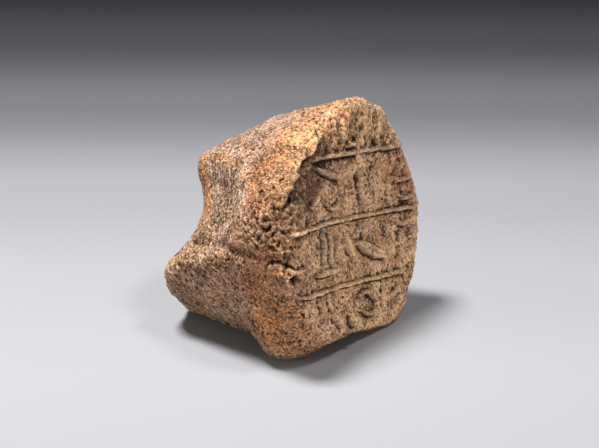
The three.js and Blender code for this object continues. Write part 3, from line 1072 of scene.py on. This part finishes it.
def clay_material():
    material = bpy.data.materials.new("worn_fired_clay")
    n = Nodes(material)
    streaks = clay_streaks(n)
    voids, pores = clay_openings(n)
    colour = weathered(n, stained_clay(n), streaks, voids, pores)
    grain = n.noise(1.5, 3, 0.7)
    height = n.math("ADD", grain, n.math("MULTIPLY", n.noise(0.8, 1, 0.6), 0.4))
    for pattern, share in ((voids, 0.5), (pores, 0.25), (streaks, 1.5)):
        height = n.math("SUBTRACT", height, n.math("MULTIPLY", pattern, share))
    bump = n.add("ShaderNodeBump", {"Height": height, "Strength": 1.0, "Distance": BUMP_DEPTH * MM})
    roughness = n.between(grain, 0.3, 0.7, 0.82, 0.98)
    n.finish(colour, Roughness=roughness, Normal=bump.outputs["Normal"], Specular_IOR_Level=0.2)
    return material


def mesh_object(name, points, faces, material):
    mesh = bpy.data.meshes.new(name)
    mesh.vertices.add(len(points))
    mesh.vertices.foreach_set("co", points.astype(np.float32).ravel())
    mesh.loops.add(faces.size)
    mesh.loops.foreach_set("vertex_index", faces.astype(np.int32).ravel())
    mesh.polygons.add(len(faces))
    mesh.polygons.foreach_set("loop_start", np.arange(0, faces.size, 3, dtype=np.int32))
    mesh.polygons.foreach_set("use_smooth", np.ones(len(faces), bool))
    mesh.update(calc_edges=True)
    mesh.materials.append(material)
    made = bpy.data.objects.new(name, mesh)
    bpy.context.scene.collection.objects.link(made)
    return made


def make_cone():
    points, faces = skin()
    points, looks = clay_surface(points, faces)
    dips = hollowness(points, faces)
    looks["dip"] = ease_between(dips, 0.06, 0.4)
    looks["rise"] = ease_between(-dips, 0.05, 0.35)
    cone = mesh_object("fired_clay_cone", fit_in_box(points, *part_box(NODE)), faces, clay_material())
    for name, values in looks.items():
        attribute = cone.data.attributes.new(name, "FLOAT", "POINT")
        attribute.data.foreach_set("value", values.astype(np.float32))
    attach(cone, "root")
    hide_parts(NODE)


# The studio. The camera is placed about the middle of the stamped face, which lies a little behind the
# front of the solid's box, and a little aside from the middle of the box.
AZIMUTH, ELEVATION = 31.1, 20.0
FACE_DISTANCE = 625.0
FACE_TO_FRONT = 5.35
FACE_ASIDE = -0.55
FOCAL_PIXELS = 2000.0
PHOTO_SIZE = (599, 448)
FACE_PIXEL = (355, 222)
SENSOR = 36.0
CLIP_END = 20


def face_middle():
    """The middle of the stamped face in the solid's own place, in millimetres."""
    low, high = (np.array(corner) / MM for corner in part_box(NODE))
    return vec(high[0] - FACE_TO_FRONT, (low[1] + high[1]) / 2 + FACE_ASIDE, REST_HEIGHT)


def view_axes():
    a, e = math.radians(AZIMUTH), math.radians(ELEVATION)
    right = vec(math.cos(a), math.sin(a), 0)
    back = vec(math.sin(a) * math.cos(e), -math.cos(a) * math.cos(e), math.sin(e))
    return right, np.cross(back, right), back


def level_view():
    """The level direction towards the camera."""
    _, _, back = view_axes()
    return unit(back * vec(1, 1, 0))


def add_camera():
    right, up, back = view_axes()
    aside = (FACE_PIXEL[0] - PHOTO_SIZE[0] / 2) / FOCAL_PIXELS * FACE_DISTANCE
    above = (PHOTO_SIZE[1] / 2 - FACE_PIXEL[1]) / FOCAL_PIXELS * FACE_DISTANCE
    spot = face_middle() - right * aside - up * above + back * FACE_DISTANCE
    lens = bpy.data.cameras.new("camera")
    lens.sensor_width = SENSOR
    lens.lens = SENSOR * FOCAL_PIXELS / PHOTO_SIZE[0]
    lens.clip_end = CLIP_END
    camera = bpy.data.objects.new("camera", lens)
    turn = Matrix(np.stack([right, up, back], axis=1).tolist()).to_4x4()
    camera.matrix_world = Matrix.Translation(Vector((spot * MM).tolist())) @ turn
    bpy.context.scene.collection.objects.link(camera)
    bpy.context.scene.camera = camera


# Each light: how far right, up and towards the camera it is from the object, and its width and height,
# all in millimetres, and its power in watts.
LIGHTS = {
    "overhead_softbox": ((-240, 900, 60), (200, 200), 16),
    "upper_right_light": ((330, 800, 240), (150, 150), 3.0),
    "right_reflector": ((640, 110, 560), (500, 180), 3.6),
    "left_reflector": ((-750, 260, 420), (500, 300), 2.0),
}
LIGHTS_AIM = (0, 0, 40)
SKY = (0.9, 0.93, 1.0, 1)
SKY_STRENGTH = 0.08


def add_light(name, place_in_view, size, power):
    aside, above, toward = place_in_view
    right, _, _ = view_axes()
    where = right * aside + level_view() * toward + vec(0, 0, above)
    light = bpy.data.lights.new(name, "AREA")
    light.shape = "RECTANGLE"
    light.size, light.size_y = size[0] * MM, size[1] * MM
    light.energy = power
    made = bpy.data.objects.new(name, light)
    made.location = Vector(where.tolist()) * MM
    aim = Vector(LIGHTS_AIM) * MM - made.location
    made.rotation_euler = aim.to_track_quat("-Z", "Y").to_euler()
    bpy.context.scene.collection.objects.link(made)


# The floor's tone by its distance in millimetres behind the object along the view: darker farther back,
# as painted fall-off of the light.
FLOOR_TONES = [(-120, 150), (-40, 153), (40, 151), (130, 140), (250, 100), (360, 64), (460, 42)]
FLOOR_REACH = 2500.0
FLOOR_BLUE = 3


def floor_material():
    material = bpy.data.materials.new("pale_floor")
    n = Nodes(material)
    first, last = FLOOR_TONES[0][0], FLOOR_TONES[-1][0]
    share = n.between(n.dot(-level_view()), first * MM, last * MM)
    ramp = n.add("ShaderNodeValToRGB", {"Fac": share})
    ramp.color_ramp.interpolation = "EASE"
    stops = ramp.color_ramp.elements
    while len(stops) < len(FLOOR_TONES):
        stops.new(0.5)
    for stop, (distance, tone) in zip(stops, FLOOR_TONES):
        stop.position = (distance - first) / (last - first)
        stop.color = srgb(tone, tone, tone + FLOOR_BLUE)
    n.finish(ramp.outputs["Color"], Roughness=0.9, Specular_IOR_Level=0.1)
    return material


def add_floor():
    corners = [(-1, -1, 0), (1, -1, 0), (1, 1, 0), (-1, 1, 0)]
    points = np.array(corners) * FLOOR_REACH * MM
    floor = mesh_object("floor", points, np.array([(0, 1, 2), (0, 2, 3)]), floor_material())


def add_studio():
    world = bpy.data.worlds.new("studio")
    world.use_nodes = True
    sky = world.node_tree.nodes["Background"]
    sky.inputs["Color"].default_value = SKY
    sky.inputs["Strength"].default_value = SKY_STRENGTH
    bpy.context.scene.world = world
    for name, (place_in_view, size, power) in LIGHTS.items():
        add_light(name, place_in_view, size, power)
    bpy.context.scene.view_settings.view_transform = "Standard"


add_camera()
add_floor()
add_studio()
make_cone()
